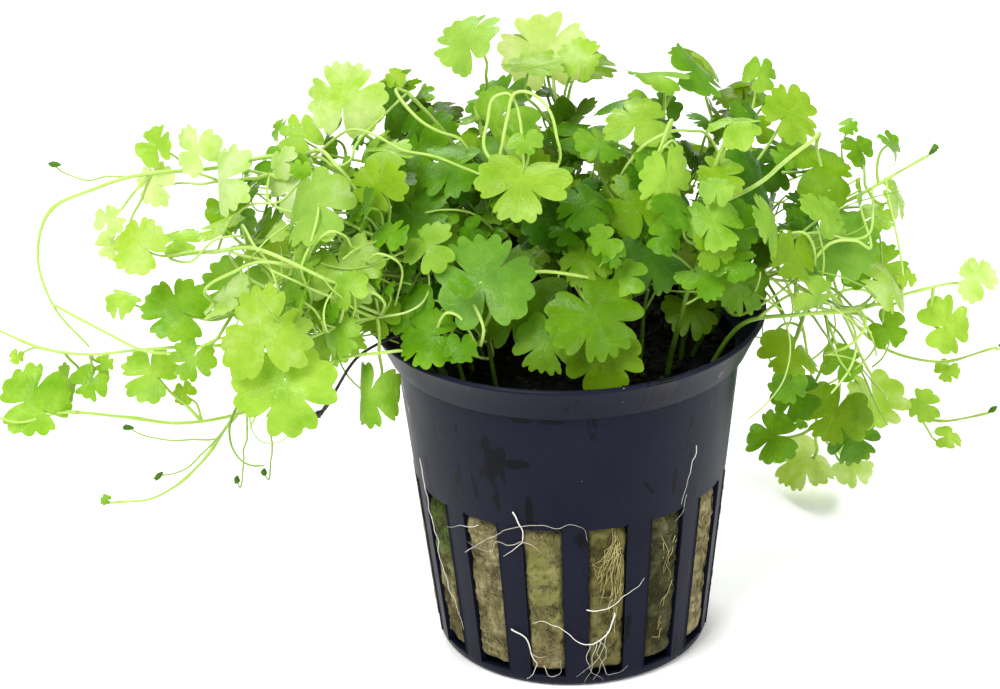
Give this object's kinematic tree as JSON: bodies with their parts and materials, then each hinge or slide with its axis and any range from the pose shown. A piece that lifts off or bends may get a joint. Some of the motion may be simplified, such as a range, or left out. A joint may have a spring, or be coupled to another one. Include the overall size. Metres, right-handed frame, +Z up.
{
  "type": "potted hydrocotyle tripartita",
  "caption": "Slotted round net pot filled with mineral wool, with white roots through its slots and a spreading mop of thin stems and three-lobed leaves that trails over the rim.",
  "frame": {"origin": "centre of the pot's flat underside", "axes": "+Z up; -Y is the pictured front; +X is the picture's right, the direction the plant spreads along"},
  "size_m": [0.1345, 0.0663, 0.085],
  "materials": {
    "pot_plastic": "satin, wet",
    "wool_plug": "fibrous, matt",
    "root": "smooth, matt",
    "leaf": "thin, translucent, wet sheen",
    "stem": "smooth, translucent",
    "dead_stem": "dry"
  },
  "bodies": {
    "root": {"pot": "pot_plastic", "wool_plug": "wool_plug", "root_front": "root", "root_front_left": "root", "root_left": "root", "root_right": "root", "root_middle": "root", "root_foot_left": "root", "root_foot": "root", "shoot_front_1": "leaf", "shoot_front_2": "leaf", "shoot_front_3": "leaf", "shoot_front_4": "leaf", "shoot_front_5": "leaf", "shoot_front_6": "leaf", "shoot_front_7": "leaf", "shoot_front_8": "leaf", "shoot_front_9": "leaf", "shoot_crown_1": "leaf", "shoot_crown_2": "leaf", "shoot_crown_3": "leaf", "shoot_crown_4": "leaf", "shoot_crown_5": "leaf", "shoot_crown_6": "leaf", "shoot_crown_7": "leaf", "shoot_crown_8": "leaf", "shoot_right_1": "leaf", "shoot_right_2": "leaf", "shoot_right_3": "leaf", "runner_right_1": "stem", "runner_right_2": "stem", "runner_right_3": "stem", "runner_right_4": "stem", "runner_right_5": "stem", "runner_right_6": "stem", "runner_right_7": "stem", "shoot_left_1": "leaf", "shoot_left_2": "leaf", "shoot_left_3": "leaf", "shoot_left_4": "leaf", "shoot_left_5": "leaf", "shoot_left_6": "leaf", "shoot_left_7": "leaf", "shoot_left_8": "leaf", "shoot_left_9": "leaf", "shoot_left_10": "leaf", "shoot_left_11": "leaf", "shoot_left_12": "leaf", "runner_left_1": "stem", "runner_left_2": "stem", "runner_left_3": "stem", "runner_left_4": "stem", "dead_stem": "dead_stem", "shoot_back_1": "leaf", "shoot_back_2": "leaf", "shoot_back_3": "leaf", "shoot_back_4": "leaf", "shoot_back_5": "leaf"}
  },
  "joints": []
}
